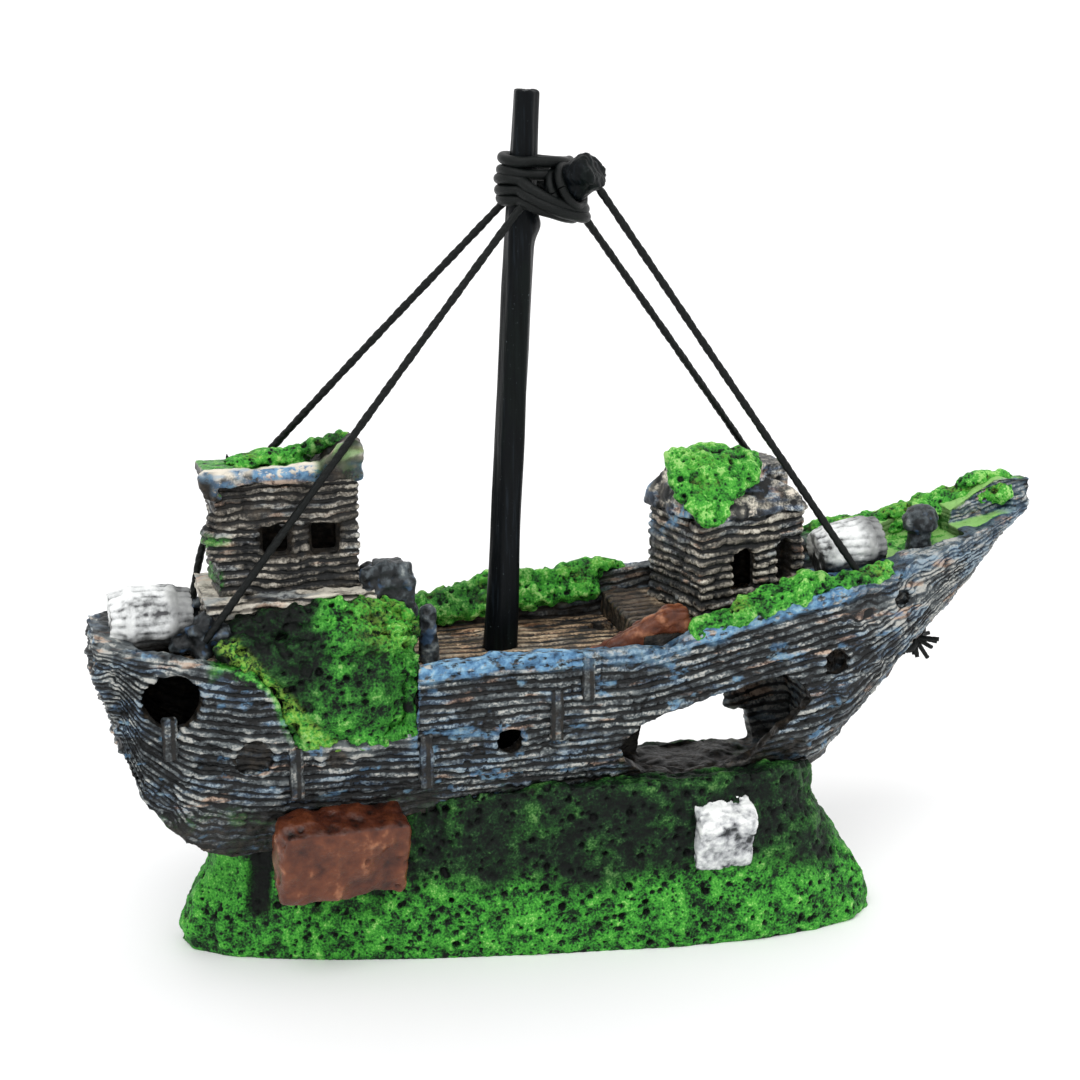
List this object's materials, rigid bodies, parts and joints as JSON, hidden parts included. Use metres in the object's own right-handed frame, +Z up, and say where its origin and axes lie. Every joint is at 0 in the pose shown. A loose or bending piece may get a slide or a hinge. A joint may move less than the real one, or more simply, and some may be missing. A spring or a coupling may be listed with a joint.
{
  "type": "shipwreck bubbling aquarium ornament",
  "caption": "Wrecked sailing boat on a mossy rock, with a hollow hull open on both sides, cabins, a lashed and stayed mast, and an air stone in its hold.",
  "frame": {"origin": "on the flat underside of the rock, below the middle of the ship's length and on its keel line", "axes": "+X along the keel to the bow, +Y to the side away from the wide breach, +Z up"},
  "size_m": [0.1323, 0.0318, 0.1145],
  "materials": {
    "mossy_rock": "matt, porous, green dry-brushed over near-black",
    "brown_glaze": "glossy reddish-brown paint",
    "pale_stone": "rough white and grey dry-brushed paint",
    "weathered_hull": "matt, beige ridges over black-brown plank grooves with blue-grey tints",
    "deck_planks": "matt, tan planks",
    "cabin_timber": "matt, beige ridges over dark grooves",
    "roof_paint": "matt, worn light-blue and cream paint",
    "dark_fittings": "satin black with blue-grey highlights",
    "mast_stick": "satin black stain with a blue cast",
    "waxed_cord": "waxed black cord",
    "bright_moss": "matt, bright green dry-brushed over dark pits",
    "air_fitting": "smooth black plastic",
    "black_rubber": "matt rubber",
    "air_stone_grit": "bonded grit"
  },
  "bodies": {
    "ornament": {"rock_base": "mossy_rock", "brown_block": "brown_glaze", "white_stone": "pale_stone", "hull_shell": "weathered_hull", "hull_battens": "weathered_hull", "main_deck": "deck_planks", "fore_deck": "deck_planks", "stern_deck": "deck_planks", "cabin_plinth": "cabin_timber", "stern_cabin": "cabin_timber", "stern_cabin_roof": "roof_paint", "stern_barrel": "pale_stone", "stern_cleats": "dark_fittings", "rubble_block": "cabin_timber", "deck_post": "dark_fittings", "fore_cabin": "cabin_timber", "fore_cabin_roof": "cabin_timber", "roof_hatch": "cabin_timber", "bow_barrel": "pale_stone", "bollard": "dark_fittings", "fallen_plank": "brown_glaze", "mast": "mast_stick", "near_backstay": "waxed_cord", "far_backstay": "waxed_cord", "near_forestay": "waxed_cord", "far_forestay": "waxed_cord", "bow_knot": "waxed_cord", "waist_moss": "bright_moss", "stern_roof_moss": "bright_moss", "fore_roof_moss": "bright_moss", "bulwark_moss": "bright_moss", "near_bow_moss": "bright_moss", "far_bow_moss": "bright_moss", "air_elbow": "air_fitting", "air_grommet": "black_rubber", "air_stone": "air_stone_grit"},
    "yard": {"yard": "mast_stick", "mast_lashing": "waxed_cord"}
  },
  "joints": [
    {"name": "yard_swivel", "type": "hinge", "parent": "ornament", "child": "yard", "pos_m": [-0.00859, 0, 0.10302], "axis": [0.0514, 0, 0.9987], "range_deg": [-8, 8]}
  ]
}
